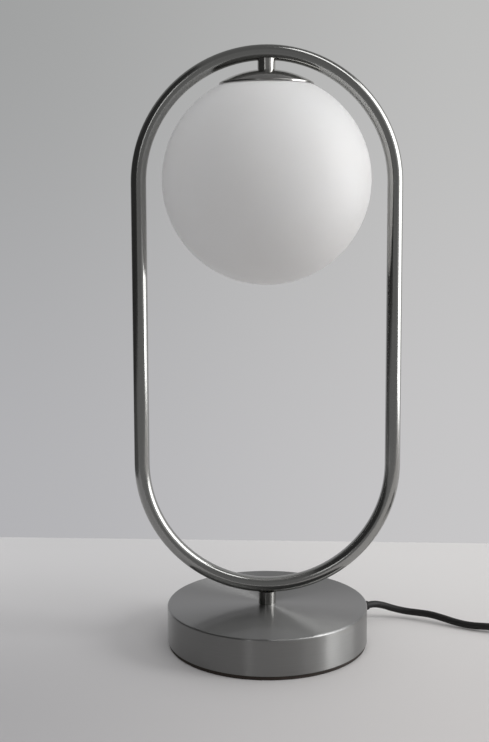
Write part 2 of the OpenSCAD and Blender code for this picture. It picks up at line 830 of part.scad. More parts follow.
// Brass tubes inside the block, one for each pair of wire ends
module terminal_tubes() {
    length = block_x[1] - block_x[0];
    color([0.85, 0.72, 0.4])
        at_exit()
            for (y = [-1, 1])
                translate([0, y * wire_y, 0])
                    difference() {
                        along_x(block_x[0] + 1, exit_z)
                            cylinder(h = length - 2, d = 4.4 - 2 * seat_gap);
                        along_x(block_x[0], exit_z) cylinder(h = length, d = wire_d + 0.6);
                    }
}

// End of the cord inside the base: the sheath up to the clamp, then two cores
module inner_cord() {
    core_end = block_x[1] - 6;
    spread_x = block_x[1] + 1.5;
    spread_l = sheath_end + 1 - spread_x;
    spread_y = wire_y - wire_pair_y;
    color([0.07, 0.07, 0.07])
        at_exit() {
            along_x(sheath_end, exit_z) cylinder(h = relief_tip - sheath_end, d = cord_d);
            for (y = [-1, 1])
                translate([0, y * wire_y, 0]) {
                    along_x(core_end, exit_z) cylinder(h = spread_x - core_end, d = wire_d);
                    translate([spread_x, 0, exit_z]) {
                        sphere(d = wire_d, $fn = 48);
                        rotate([0, 0, -y * atan2(spread_y, spread_l)])
                            rotate([0, 90, 0]) cylinder(h = norm([spread_l, spread_y]), d = wire_d);
                    }
                }
        }
}

module live_wire() {
    color([0.45, 0.25, 0.12]) swept_tube(wire_route(1), wire_d, 8, [0, 1, 0]);
}

module neutral_wire() {
    color([0.15, 0.3, 0.65]) swept_tube(wire_route(-1), wire_d, 8, [0, 1, 0]);
}

// Mains cord from the strain relief to the switch
module cord_lead() {
    color([0.07, 0.07, 0.07]) swept_tube(lead_route, cord_d, 10, [0, 0, 1]);
}

// Mains cord from the switch to the coil
module cord_link() {
    color([0.07, 0.07, 0.07]) swept_tube(link_route, cord_d, 10, [0, 0, 1]);
}

// The length of cord that is wound up, one unbroken tube
module cord_coil() {
    color([0.07, 0.07, 0.07]) swept_tube(coil_points, cord_d, 6, [0, 0, 1]);
}

// Mains cord from the coil to the plug
module cord_tail() {
    color([0.07, 0.07, 0.07]) swept_tube(tail_route, cord_d, 10, [0, 0, 1]);
}

// Heights and places inside the switch housing
split_z = 9;
pivot_z = switch_h - 4;
pivot_d = 3;
pivot_gap = 0.06;
rocker_high = 4.2;
rocker_low = 2.8;
rocker_deep = 3;
window_l = 2 * (norm([rocker_l / 2, rocker_high]) + rocker_gap);
window_w = rocker_w + 2 * rocker_gap;
screw_x = switch_l / 2 - 7;

// Whole outline of the switch housing with a neck at each end
module switch_outline() {
    intersection() {
        linear_extrude(switch_h) round_rect(switch_l, switch_w, 9);
        rotate([90, 0, 0])
            linear_extrude(switch_w, center = true)
                translate([0, switch_h / 2]) round_rect(switch_l, switch_h, 5);
        rotate([90, 0, 90])
            linear_extrude(switch_l, center = true)
                translate([0, switch_h / 2]) round_rect(switch_w, switch_h, 4);
    }
    for (side = [-1, 1])
        mirror([side < 0 ? 1 : 0, 0, 0])
            along_x(switch_l / 2 - 2, split_z)
                cylinder(h = neck_l + 2, d1 = cord_d + 5, d2 = cord_d + 2);
}

// Lower half of the switch housing, with two pockets for the contacts
module switch_base() {
    color([0.09, 0.09, 0.09])
        translate(switch_mid)
            difference() {
                switch_outline();
                translate([-switch_l, -switch_w, split_z])
                    cube([2 * switch_l, 2 * switch_w, switch_h]);
                for (y = [-1, 1]) {
                    translate([-8, y * 4 - 2, 4]) cube([16, 4, split_z]);
                    translate([y * screw_x, 0, -past]) {
                        cylinder(h = split_z + 2 * past, d = 3.2);
                        cylinder(h = 2 + past, d = 6.4);
                    }
                }
            }
}

// Upper half of the switch housing, with the window and bearings of the rocker
module switch_cover() {
    color([0.09, 0.09, 0.09])
        translate(switch_mid)
            difference() {
                switch_outline();
                translate([-switch_l, -switch_w, split_z - switch_h])
                    cube([2 * switch_l, 2 * switch_w, switch_h]);
                translate([-window_l / 2, -window_w / 2, split_z - past])
                    cube([window_l, window_w, switch_h]);
                translate([0, rocker_w / 2 + 3, pivot_z])
                    rotate([90, 0, 0]) cylinder(h = rocker_w + 6, d = pivot_d + 2 * pivot_gap);
                for (x = [-1, 1])
                    translate([x * screw_x, 0, split_z - past]) cylinder(h = 5 + past, d = 3.2);
            }
}

// Rocker that tips about its own pin, shown in its off position
module switch_rocker() {
    half = rocker_l / 2;
    color([0.12, 0.12, 0.12])
        translate(switch_mid + [0, 0, pivot_z])
            rotate([0, -rocker_tip, 0])
                rotate([90, 0, 0]) {
                    linear_extrude(rocker_w, center = true)
                        polygon([[-half + 0.5, -rocker_deep], [half - 0.5, -rocker_deep],
                            [half, rocker_high], [0, rocker_low], [-half, rocker_high]]);
                    cylinder(h = rocker_w + 4, d = pivot_d, center = true);
                }
}

// Brass contact strips in the housing's pockets
module switch_contacts() {
    color([0.85, 0.72, 0.4])
        translate(switch_mid)
            for (y = [-1, 1])
                translate([-7, y * 4 - 1.6, 4]) {
                    cube([14, 3.2, 0.8]);
                    translate([5, 0, 0.4]) cube([2, 3.2, 3.6]);
                }
}

module switch_screws() {
    color([0.7, 0.7, 0.68])
        translate(switch_mid)
            for (x = [-1, 1])
                translate([x * screw_x, 0, 0.4]) {
                    cylinder(h = 1.6, d = 5.8);
                    cylinder(h = 12, d = 3);
                }
}

// Moulded two pin plug: a ribbed tail, then a flat body that widens to its face
module plug_body() {
    neck_w = 12;
    shoulder = 14;
    tail_r = cord_d / 2 + 2.4;
    tip_r = cord_d / 2 + 1;
    slots = [for (i = [0:3]) 4 + i * 4];
    color([0.09, 0.09, 0.09])
        translate(plug_tip) rotate([0, 0, 180]) {
            intersection() {
                translate([relief_l - 2, 0, -plug_t / 2])
                    linear_extrude(plug_t)
                        polygon([[0, -neck_w / 2], [shoulder, -plug_w / 2], [plug_l + 2, -plug_w / 2],
                            [plug_l + 2, plug_w / 2], [shoulder, plug_w / 2], [0, neck_w / 2]]);
                along_x(relief_l - 2, 0)
                    linear_extrude(plug_l + 2)
                        rotate([0, 0, 90]) round_rect(plug_w, plug_t, 6.8);
            }
            along_x(0, 0)
                rotate_extrude()
                    difference() {
                        polygon([[0, 0], [tip_r, 0], [tail_r, relief_l], [0, relief_l]]);
                        for (x = slots)
                            translate([cord_d / 2 + 0.6, x]) square([tail_r, 1.2]);
                    }
        }
}

// Two round brass pins with rounded ends, seated in the plug's face
module plug_pins() {
    color([0.8, 0.75, 0.55])
        translate(plug_tip) rotate([0, 0, 180])
            for (y = [-1, 1])
                translate([0, y * pin_pitch / 2, 0]) {
                    along_x(relief_l + plug_l, 0) cylinder(h = pin_l - pin_d / 2, d = pin_d);
                    translate([relief_l + plug_l + pin_l - pin_d / 2, 0, 0]) sphere(d = pin_d);
                }
}

base_cover();
base_weight();
bottom_plate();
base_pad();
bottom_screws();
stem_bush();
base_rod();
base_washer();
base_nut();
loop_tube();
top_bush();
top_rod();
globe_cap();
cap_nut();
gallery_plate();
gallery_springs();
holder_cap();
holder_skirt();
holder_core();
screw_shell();
centre_contact();
bulb_cap();
bulb_glass();
globe();
cord_grommet();
cord_clamp();
clamp_screws();
terminal_block();
terminal_tubes();
inner_cord();
live_wire();
neutral_wire();
cord_lead();
switch_base();
switch_cover();
switch_rocker();
switch_contacts();
switch_screws();
cord_link();
cord_coil();
cord_tail();
plug_body();
plug_pins();
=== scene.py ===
import math

import bmesh
import bpy
from mathutils import Matrix, Vector


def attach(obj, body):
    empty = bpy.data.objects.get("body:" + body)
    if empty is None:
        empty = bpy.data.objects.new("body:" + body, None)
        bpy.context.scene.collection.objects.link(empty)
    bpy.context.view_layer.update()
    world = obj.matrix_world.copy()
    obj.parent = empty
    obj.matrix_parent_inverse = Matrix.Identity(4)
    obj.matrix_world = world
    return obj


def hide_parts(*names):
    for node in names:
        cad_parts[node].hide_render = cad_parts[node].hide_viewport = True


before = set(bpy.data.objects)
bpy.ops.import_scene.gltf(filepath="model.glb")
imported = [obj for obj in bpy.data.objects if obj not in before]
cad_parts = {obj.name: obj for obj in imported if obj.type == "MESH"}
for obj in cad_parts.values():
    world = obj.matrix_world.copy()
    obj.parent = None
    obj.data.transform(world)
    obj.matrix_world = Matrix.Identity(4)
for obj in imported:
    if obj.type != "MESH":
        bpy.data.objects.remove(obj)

bpy.context.view_layer.update()

# Camera
# It stands where the photographer's stood: 1.12 m in front of the lamp and 0.44 m above the
# table, tipped down by 6 degrees, with the picture moved up a little on the sensor.
eye = (-0.004, -1.1198, 0.4408)
photo_height = 742
focal_pixels = 1161.0
raised_pixels = 47.7
pitch, yaw, roll = (math.radians(a) for a in (6.228, -0.903, -0.201))
forward = Vector((math.sin(yaw) * math.cos(pitch), math.cos(yaw) * math.cos(pitch),
                  -math.sin(pitch)))
level = Vector((math.cos(yaw), -math.sin(yaw), 0))
upright = level.cross(forward)
right = level * math.cos(roll) + upright * math.sin(roll)
up = -level * math.sin(roll) + upright * math.cos(roll)
camera_data = bpy.data.cameras.new("camera")
# The sensor's width lies along the picture's longer side, its height
camera_data.sensor_width = 36
camera_data.lens = camera_data.sensor_width * focal_pixels / photo_height
camera_data.shift_y = -raised_pixels / photo_height
camera_data.clip_start, camera_data.clip_end = 0.05, 50
camera = bpy.data.objects.new("camera", camera_data)
camera.matrix_world = Matrix.Translation(eye) @ Matrix((right, up, -forward)).transposed().to_4x4()
bpy.context.scene.collection.objects.link(camera)
bpy.context.scene.camera = camera

# Mains cord
# Round two core flex, 7 mm across, with a matte black PVC sheath. It comes out of the strain
# relief, lies on the table as in the photo, runs through a hand switch and is then wound up.
mm = 0.001
cord_d = 7


def linear(code):
    """A colour written as an sRGB hex code, as the linear values that a shader needs."""
    values = (int(code[i:i + 2], 16) / 255 for i in (0, 2, 4))
    return [v / 12.92 if v <= 0.04045 else ((v + 0.055) / 1.055) ** 2.4 for v in values] + [1.0]


def add(tree, kind, inputs=None, **settings):
    """Adds one shader node with its settings, its values and its links."""
    made = tree.nodes.new("ShaderNode" + kind)
    for key, value in settings.items():
        setattr(made, key, value)
    for key, value in (inputs or {}).items():
        if isinstance(value, bpy.types.Node):
            value = next(socket for socket in value.outputs if not socket.is_unavailable)
        if isinstance(value, bpy.types.NodeSocket):
            tree.links.new(value, made.inputs[key])
        else:
            made.inputs[key].default_value = value
    return made


def blank_material(name):
    """A new material that has no nodes yet, and its node tree."""
    made = bpy.data.materials.new(name)
    made.use_nodes = True
    made.node_tree.nodes.clear()
    return made, made.node_tree


# Extruded soft PVC: nearly black and dull, with a skin that is very finely uneven
pvc, tree = blank_material("extruded_black_pvc")
place = add(tree, "TexCoord").outputs["Object"]
cloudy = add(tree, "TexNoise", {"Vector": place, "Scale": 1 / (6 * mm)})
uneven = add(tree, "TexNoise", {"Vector": place, "Scale": 1 / (0.5 * mm), "Detail": 3})
shader = add(tree, "BsdfPrincipled", {
    "Base Color": add(tree, "Mix", {"Factor": cloudy, "A": linear("0e0d0d"), "B": linear("1c1a1a")},
                      data_type="RGBA"),
    "Roughness": add(tree, "MapRange", {"Value": cloudy, "From Min": 0.3, "From Max": 0.7,
                                        "To Min": 0.5, "To Max": 0.64}),
    "Normal": add(tree, "Bump", {"Height": uneven, "Distance": 0.03 * mm}),
    "IOR": 1.5, "Specular IOR Level": 0.35})
add(tree, "OutputMaterial", {"Surface": shader})


def shown(name, data, made, nodes, body="lamp"):
    """Puts a finished piece in the scene, on its body, in place of its CAD nodes."""
    piece = bpy.data.objects.new(name, data)
    bpy.context.scene.collection.objects.link(piece)
    if not data.materials:
        data.materials.append(made)
    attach(piece, body)
    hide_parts(*nodes)
    return piece


def laid_cord(name, points, smoothness, nodes):
    """A round flexible cord along its route in millimetres."""
    data = bpy.data.curves.new(name, "CURVE")
    data.dimensions = "3D"
    data.bevel_depth = cord_d / 2 * mm
    data.bevel_resolution = 8
    data.resolution_u = smoothness
    data.use_fill_caps = True
    line = data.splines.new("BEZIER")
    line.bezier_points.add(len(points) - 1)
    for knot, point in zip(line.bezier_points, points):
        knot.co = Vector(point) * mm
        knot.handle_left_type = knot.handle_right_type = "AUTO"
    return shown(name, data, pvc, nodes=nodes)


base_r, relief_l, exit_z = 99, 20, 16
exit_angle = math.radians(28)
exit_way = Vector((math.cos(exit_angle), math.sin(exit_angle), 0))
relief_end = exit_way * (base_r + relief_l) + Vector((0, 0, exit_z))
lead_route = [
    relief_end, relief_end + exit_way * cord_d, (121, 62.5, 13.8), (132, 63, 10.4),
    (145, 61.5, 7.9), (158, 57.5, 7.5), (170, 52, 7.5), (182, 44.5, 6.5), (194, 37, 5),
    (207, 30, 4.5), (221, 24, 5.5), (236, 20, 6), (252, 19.5, 5), (267, 23, 4.5),
    (281, 29.5, 5.5), (293, 35, 8), (304, 38, 9), (312, 38, 9)]
lead = laid_cord("cord_to_switch", lead_route, 10, ["cord_lead"])

# The stored length lies in a flat coil of two layers: in on the table, and out again on top
coil_mid = Vector((376, -35, 0))
coil_r, coil_turns, coil_gap, knots_per_turn = 52, 5.25, 0.7, 24
coil_pitch = cord_d + coil_gap


def on_coil(turn):
    """Where the cord is after so many turns. It climbs in the half turn at the coil's middle."""
    half = coil_turns / 2
    r = coil_r - coil_pitch * (turn if turn < half else coil_turns - turn)
    climb = min(1, max(0, (turn - half + 0.25) / 0.5))
    angle = -math.tau * turn
    return coil_mid + Vector((r * math.cos(angle), r * math.sin(angle),
                              cord_d / 2 + coil_pitch * climb * climb * (3 - 2 * climb)))


switch_end = Vector((386, 38, 9))
plug_tip = Vector((341, -87, 6.85))
stored_route = [
    switch_end, switch_end + Vector((cord_d, 0, 0)), (399, 36.5, 7.5), (412, 32, 5.5),
    (422, 22.5, 4), (427, 9, 3.5), (428, -6, 3.5), (428, -18, 3.5), (428, -28, 3.5)]
stored_route += [on_coil(i / knots_per_turn) for i in range(round(coil_turns * knots_per_turn) + 1)]
stored_route += [(369, -87, 11.2), (362, -87, 11.2), (355, -87, 9),
                 plug_tip + Vector((cord_d, 0, 0)), plug_tip]
stored = laid_cord("cord_to_plug", stored_route, 5, ["cord_link", "cord_coil", "cord_tail"])

# Hand switch
# Two moulded halves of matte black plastic clamp on the cord, held by two screws from below.
# A smooth rocker tips in a window in the upper half.
switch_mid = Vector((349, 38, 0))
switch_l, switch_w, switch_h, split_z = 62, 28, 19, 9
corner_r, edge_r, split_r = 9, 3.6, 0.35
neck_r, neck_end_r, neck_l, split_gap = 6, 4.5, 8, 0.15

# Moulded in a spark eroded tool: a fine even grain that scatters the light
grained, tree = blank_material("grained_black_plastic")
place = add(tree, "TexCoord").outputs["Object"]
cloudy = add(tree, "TexNoise", {"Vector": place, "Scale": 1 / (9 * mm)})
grain = add(tree, "TexNoise", {"Vector": place, "Scale": 1 / (0.45 * mm), "Detail": 2})
shader = add(tree, "BsdfPrincipled", {
    "Base Color": add(tree, "Mix", {"Factor": cloudy, "A": linear("151515"), "B": linear("252525")},
                      data_type="RGBA"),
    "Roughness": add(tree, "MapRange", {"Value": grain, "From Min": 0.3, "From Max": 0.7,
                                        "To Min": 0.44, "To Max": 0.56}),
    "Normal": add(tree, "Bump", {"Height": grain, "Distance": 0.05 * mm}), "IOR": 1.5})
add(tree, "OutputMaterial", {"Surface": shader})
# The same plastic from a polished tool: glossy, with the faint waves of hand polishing
smooth_black, tree = blank_material("polished_black_plastic")
place = add(tree, "TexCoord").outputs["Object"]
waves = add(tree, "TexNoise", {"Vector": place, "Scale": 1 / (4 * mm)})
shader = add(tree, "BsdfPrincipled", {
    "Base Color": add(tree, "Mix", {"Factor": waves, "A": linear("161616"), "B": linear("1e1e1e")},
                      data_type="RGBA"),
    "Roughness": add(tree, "MapRange", {"Value": waves, "From Min": 0.3, "From Max": 0.7,
                                        "To Min": 0.16, "To Max": 0.28}),
    "Normal": add(tree, "Bump", {"Height": waves, "Distance": 0.02 * mm}), "IOR": 1.5})
add(tree, "OutputMaterial", {"Surface": shader})


def rounded(bm, edges, width, segments):
    """Rounds these edges."""
    bmesh.ops.bevel(bm, geom=list(edges), offset=width * mm, segments=segments, profile=0.5,
                    affect="EDGES", material=-1, clamp_overlap=True)


def sits_at(edge, height):
    """True if both ends of the edge are at that height in millimetres."""
    return all(abs(v.co.z - height * mm) < 1e-6 for v in edge.verts)


def made_mesh(name, bm, sharp=30):
    """The finished mesh, smooth but for its sharp edges."""
    data = bpy.data.meshes.new(name)
    bm.to_mesh(data)
    bm.free()
    data.shade_smooth()
    data.set_sharp_from_angle(angle=math.radians(sharp))
    return data


def edges_of(geometry):
    """The edges among what an operator returns."""
    return [g for g in geometry if isinstance(g, bmesh.types.BMEdge)]


def verts_of(geometry):
    """The vertices among what an operator returns."""
    return [g for g in geometry if isinstance(g, bmesh.types.BMVert)]


def switch_half(low_z, high_z, side):
    """One half of the housing. side is 1 for the upper half and -1 for the lower one."""
    bm = bmesh.new()
    block_mid = switch_mid + Vector((0, 0, (low_z + high_z) / 2))
    block_size = Vector((switch_l, switch_w, high_z - low_z))
    bmesh.ops.create_cube(bm, size=1, matrix=Matrix.Translation(block_mid * mm)
                          @ Matrix.Diagonal((block_size * mm).to_4d()))
    upright_edges = [e for e in bm.edges if abs(e.verts[0].co.z - e.verts[1].co.z) > 1e-4]
    rounded(bm, upright_edges, corner_r, 10)
    rounded(bm, [e for e in bm.edges if sits_at(e, high_z if side > 0 else low_z)], edge_r, 6)
    rounded(bm, [e for e in bm.edges if sits_at(e, split_z)], split_r, 2)
    for end in (-1, 1):
        neck = bmesh.new()
        neck_mid = switch_mid + Vector((end * (switch_l / 2 + 2), 0, split_z))
        bmesh.ops.create_cone(
            neck, cap_ends=True, segments=40, radius1=neck_r * mm, radius2=neck_end_r * mm,
            depth=neck_l * mm,
            matrix=Matrix.Translation(neck_mid * mm) @ Matrix.Rotation(end * math.pi / 2, 4, "Y"))
        cut = bmesh.ops.bisect_plane(
            neck, geom=neck.verts[:] + neck.edges[:] + neck.faces[:], dist=1e-7,
            plane_co=(0, 0, (split_z + side * split_gap) * mm), plane_no=(0, 0, -side),
            clear_outer=True)
        bmesh.ops.holes_fill(neck, edges=edges_of(cut["geom_cut"]))
        part = bpy.data.meshes.new("neck")
        neck.to_mesh(part)
        neck.free()
        bm.from_mesh(part)
        bpy.data.meshes.remove(part)
    return bm


bm = switch_half(0, split_z, -1)
lower_half = shown("switch_lower_half", made_mesh("switch_lower_half", bm, 40), grained,
                   nodes=["switch_base"])
bm = switch_half(split_z, switch_h, 1)
window_l, window_w, window_deep = 25.2, 13.2, 9.2
for axis, reach in ((0, window_l / 2), (1, window_w / 2)):
    for side in (-1, 1):
        bmesh.ops.bisect_plane(
            bm, geom=bm.verts[:] + bm.edges[:] + bm.faces[:], dist=1e-7,
            plane_co=(switch_mid + Vector((side * reach, side * reach, 0))) * mm,
            plane_no=[float(i == axis) for i in range(3)])
window_mid = (switch_mid + Vector((0, 0, switch_h))) * mm
opening = [f for f in bm.faces if f.normal.z > 0.9
           and (f.calc_center_median() - window_mid).length < 2 * mm]
sunk = bmesh.ops.extrude_face_region(bm, geom=opening)
bmesh.ops.delete(bm, geom=opening, context="FACES_ONLY")
bmesh.ops.translate(bm, vec=(0, 0, -window_deep * mm), verts=verts_of(sunk["geom"]))
upper_half = shown("switch_upper_half", made_mesh("switch_upper_half", bm, 40), grained,
                   nodes=["switch_cover"])

# The rocker's top is a shallow hollow. At rest it is tipped by 9 degrees about its pin
bm = bmesh.new()
half, deep, low_top, high_top, rocker_w = 11.5, 3, 2.8, 4.2, 12.4
pivot_z, tipped = 15, -9
side_line = [(-half + 0.5, -deep), (half - 0.5, -deep), (half, high_top)]
side_line += [(half * (1 - i / 6), low_top + (high_top - low_top) * (1 - i / 6) ** 2)
              for i in range(1, 12)]
side_line += [(-half, high_top)]
flat = bm.faces.new([bm.verts.new((x * mm, -rocker_w / 2 * mm, z * mm)) for x, z in side_line])
deepened = bmesh.ops.extrude_face_region(bm, geom=[flat])
bmesh.ops.translate(bm, vec=(0, rocker_w * mm, 0), verts=verts_of(deepened["geom"]))
bmesh.ops.recalc_face_normals(bm, faces=bm.faces)
rounded(bm, [e for e in bm.edges if len(e.link_faces) == 2 and e.calc_face_angle() > 0.5], 0.5, 3)
bmesh.ops.rotate(bm, verts=bm.verts, cent=(0, 0, 0),
                 matrix=Matrix.Rotation(math.radians(tipped), 3, "Y"))
bmesh.ops.translate(bm, vec=(switch_mid + Vector((0, 0, pivot_z))) * mm, verts=bm.verts)
rocker = shown("rocker", made_mesh("rocker", bm), smooth_black, body="rocker",
               nodes=["switch_rocker"])

# Plug
# Moulded in one shot round the end of the cord: a ribbed tail that bends, then a flat body
# that widens to the face. Its two round pins are nickel plated brass in black sleeves.

# Each row: the distance from the tail's end, half the width and half the thickness
plug_sizes = [(0, 4.2, 4.2), (0.4, 4.5, 4.5)]
for i in range(4):
    at = 4 + 4 * i
    r = 4.5 + 1.4 * at / 20
    plug_sizes += [(at, r, r), (at + 0.1, 4.1, 4.1), (at + 1.1, 4.1, 4.1),
                   (at + 1.2, r + 0.1, r + 0.1)]
plug_sizes += [(18.2, 6, 6), (20, 6.9, 6.4), (23, 9.1, 6.7), (26, 11.4, 6.85), (29.5, 14.6, 6.85),
               (31.5, 16.4, 6.85), (33.5, 17.4, 6.85), (36, 17.65, 6.85), (54.6, 17.65, 6.85),
               (55.5, 17.4, 6.6), (56, 16.8, 6)]
bm = bmesh.new()
ring = bmesh.ops.create_circle(bm, segments=64, radius=1)["verts"]
turns = [math.atan2(v.co.y, v.co.x) for v in ring]
edges = bm.faces.new(ring).edges[:]
for along, wide, thick in plug_sizes:
    if along:
        more = bmesh.ops.extrude_edge_only(bm, edges=edges)["geom"]
        edges = edges_of(more)
        after = {next(e.other_vert(v) for e in v.link_edges if e.other_vert(v) in ring): v
                 for v in verts_of(more)}
        ring = [after[v] for v in ring]
    # Each ring is two half circles, moved apart as far as the plug is flat there
    for vert, turn in zip(ring, turns):
        apart = (wide - thick) * max(-1.0, min(1.0, math.cos(turn) * 3))
        vert.co = Vector((plug_tip.x - along, plug_tip.y + apart + thick * math.cos(turn),
                          plug_tip.z + thick * math.sin(turn))) * mm
bm.faces.new(ring)
bmesh.ops.recalc_face_normals(bm, faces=bm.faces)
plug = shown("plug", made_mesh("plug", bm, 35), grained, nodes=["plug_body"])


def turned(bm, outline, steps, place=Matrix.Identity(4)):
    """Turns an outline of radius and height, in millimetres, once round the Z axis."""
    spun = bmesh.new()
    line = [spun.verts.new((r * mm, 0, z * mm)) for r, z in outline]
    sides = [spun.edges.new(pair) for pair in zip(line, line[1:] + line[:1])]
    bmesh.ops.spin(spun, geom=line + sides, cent=(0, 0, 0), axis=(0, 0, 1), angle=math.tau,
                   steps=steps, use_merge=True)
    bmesh.ops.remove_doubles(spun, verts=spun.verts, dist=1e-7)
    bmesh.ops.dissolve_degenerate(spun, edges=spun.edges, dist=1e-8)
    bmesh.ops.recalc_face_normals(spun, faces=spun.faces)
    spun.transform(place)
    part = bpy.data.meshes.new("turned")
    spun.to_mesh(part)
    spun.free()
    bm.from_mesh(part)
    bpy.data.meshes.remove(part)


# Plating on turned brass: bright, warm grey, with faint wear from the socket
pin_plate, tree = blank_material("nickel_plated_pin")
place = add(tree, "TexCoord").outputs["Object"]
wear = add(tree, "TexNoise", {"Vector": place, "Scale": 1 / (1.5 * mm), "Detail": 4})
shader = add(tree, "BsdfPrincipled", {
    "Base Color": add(tree, "Mix", {"Factor": wear, "A": linear("b3ad9d"), "B": linear("cdc9bf")},
                      data_type="RGBA"),
    "Roughness": add(tree, "MapRange", {"Value": wear, "From Min": 0.3, "From Max": 0.7,
                                        "To Min": 0.14, "To Max": 0.3}), "Metallic": 1})
add(tree, "OutputMaterial", {"Surface": shader})
plug_l, pin_apart, pin_r, pin_l = plug_sizes[-1][0], 18.6, 2, 19
sleeve_l, bare_r = 9.8, 1.85
round_end = [(pin_r * math.cos(a), pin_l - pin_r + pin_r * math.sin(a))
             for a in (math.pi / 2 * i / 8 for i in range(8))]
bm = bmesh.new()
for side in (-1, 1):
    face_on = (Matrix.Translation((plug_tip + Vector((-plug_l, side * pin_apart / 2, 0))) * mm)
               @ Matrix.Rotation(-math.pi / 2, 4, "Y"))
    turned(bm, [(0, 0), (pin_r, 0), (pin_r, sleeve_l - 0.1), (pin_r - 0.1, sleeve_l),
                (0, sleeve_l)], 40, face_on)
    turned(bm, [(0, sleeve_l), (bare_r, sleeve_l)] + round_end + [(0, pin_l)], 40, face_on)
data = made_mesh("plug_pin_pair", bm, 35)
data.materials.append(pin_plate)
data.materials.append(smooth_black)
for face in data.polygons:
    face.material_index = int(face.center.x > (plug_tip.x - plug_l - sleeve_l - 0.01) * mm)
pins = shown("plug_pin_pair", data, pin_plate, nodes=["plug_pins"])

# Base cover
# Sheet steel, spun over a form to a low drum, plated with satin nickel, brushed in circles while
# it turns, and lacquered. Each scratch is an arc about the axis, so lights draw out across it.


def finish(made, *names):
    """Gives CAD nodes whose shape is right their better material."""
    for name in names:
        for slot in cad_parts[name].material_slots:
            slot.material = made


# Satin nickel, a neutral grey metal, under clear lacquer: the broad streaks come from the
# scratches and the faint sharp mirroring from the lacquer. The real scratches are about 0.1 mm
# wide and are drawn 0.5 mm wide, as finer ones wouldn't show.
spun_nickel, tree = blank_material("satin_nickel_brushed_round")
point = add(tree, "SeparateXYZ", {"Vector": add(tree, "TexCoord").outputs["Object"]}).outputs
flat = add(tree, "CombineXYZ", {"X": point["X"], "Y": point["Y"]})
outwards = add(tree, "VectorMath", {0: flat}, operation="NORMALIZE")
turn = add(tree, "SeparateXYZ", {"Vector": outwards}).outputs
radius = add(tree, "VectorMath", {0: flat}, operation="LENGTH").outputs["Value"]
scratch = 1 / (0.5 * mm)
rings = add(tree, "CombineXYZ", {
    "X": add(tree, "Math", {0: radius, 1: scratch}, operation="MULTIPLY"),
    "Y": add(tree, "Math", {0: point["Z"], 1: scratch}, operation="MULTIPLY"),
    "Z": add(tree, "Math", {0: turn["X"], 1: 3}, operation="MULTIPLY")})
strokes = add(tree, "TexNoise", {
    "Vector": rings, "W": add(tree, "Math", {0: turn["Y"], 1: 3}, operation="MULTIPLY"), "Scale": 1,
    "Detail": 4, "Roughness": 0.7}, noise_dimensions="4D")
shader = add(tree, "BsdfPrincipled", {
    "Base Color": add(tree, "Mix", {
        "Factor": strokes, "A": linear("858584"), "B": linear("979796")}, data_type="RGBA"),
    "Roughness": add(tree, "MapRange", {"Value": strokes, "From Min": 0.3, "From Max": 0.7,
                                        "To Min": 0.3, "To Max": 0.36}),
    "Tangent": add(tree, "Tangent", direction_type="RADIAL", axis="Z"),
    "Normal": add(tree, "Bump", {"Height": strokes, "Distance": 0.002 * mm}),
    "Metallic": 1, "Anisotropic": 1, "Anisotropic Rotation": 0.25,
    "Coat Weight": 0.3, "Coat Roughness": 0.1})
add(tree, "OutputMaterial", {"Surface": shader})
finish(spun_nickel, "base_cover")

# Pad, plate, weight and their screws
# The lamp stands on a soft black foam pad, glued to the steel plate that closes the base.
# Inside, a rough iron casting keeps the lamp upright; three screws hold the plate to it.
pad_r, pad_t = base_r - 1, 4
bm = bmesh.new()
turned(bm, [(0, 0), (pad_r - 0.6, 0), (pad_r, 0.6), (pad_r, pad_t - 0.4), (pad_r - 0.4, pad_t),
            (0, pad_t)], 160)
# Cellular rubber: nearly black, a little brown, with open pores and no gloss
foam, tree = blank_material("cellular_rubber")
place = add(tree, "TexCoord").outputs["Object"]
cloudy = add(tree, "TexNoise", {"Vector": place, "Scale": 1 / (3 * mm)})
pores = add(tree, "TexNoise", {"Vector": place, "Scale": 1 / (0.9 * mm), "Detail": 4})
shader = add(tree, "BsdfPrincipled", {
    "Base Color": add(tree, "Mix", {"Factor": cloudy, "A": linear("1c1713"), "B": linear("3a3029")},
                      data_type="RGBA"),
    "Roughness": add(tree, "MapRange", {"Value": pores, "To Min": 0.82, "To Max": 0.98}),
    "Normal": add(tree, "Bump", {"Height": pores, "Distance": 0.3 * mm})})
add(tree, "OutputMaterial", {"Surface": shader})
shown("foot_pad", made_mesh("foot_pad", bm), foam, nodes=["base_pad"])
# Grey iron from a sand mould: dark, dull and grainy
iron, tree = blank_material("sand_cast_iron")
place = add(tree, "TexCoord").outputs["Object"]
cloudy = add(tree, "TexNoise", {"Vector": place, "Scale": 1 / (12 * mm)})
sand = add(tree, "TexNoise", {"Vector": place, "Scale": 1 / (1.2 * mm), "Detail": 5})
shader = add(tree, "BsdfPrincipled", {
    "Base Color": add(tree, "Mix", {"Factor": cloudy, "A": linear("262628"), "B": linear("505052")},
                      data_type="RGBA"),
    "Roughness": add(tree, "MapRange", {"Value": sand, "To Min": 0.6, "To Max": 0.82}),
    "Normal": add(tree, "Bump", {"Height": sand, "Distance": 0.4 * mm}), "Metallic": 0.6})
add(tree, "OutputMaterial", {"Surface": shader})
finish(iron, "base_weight")
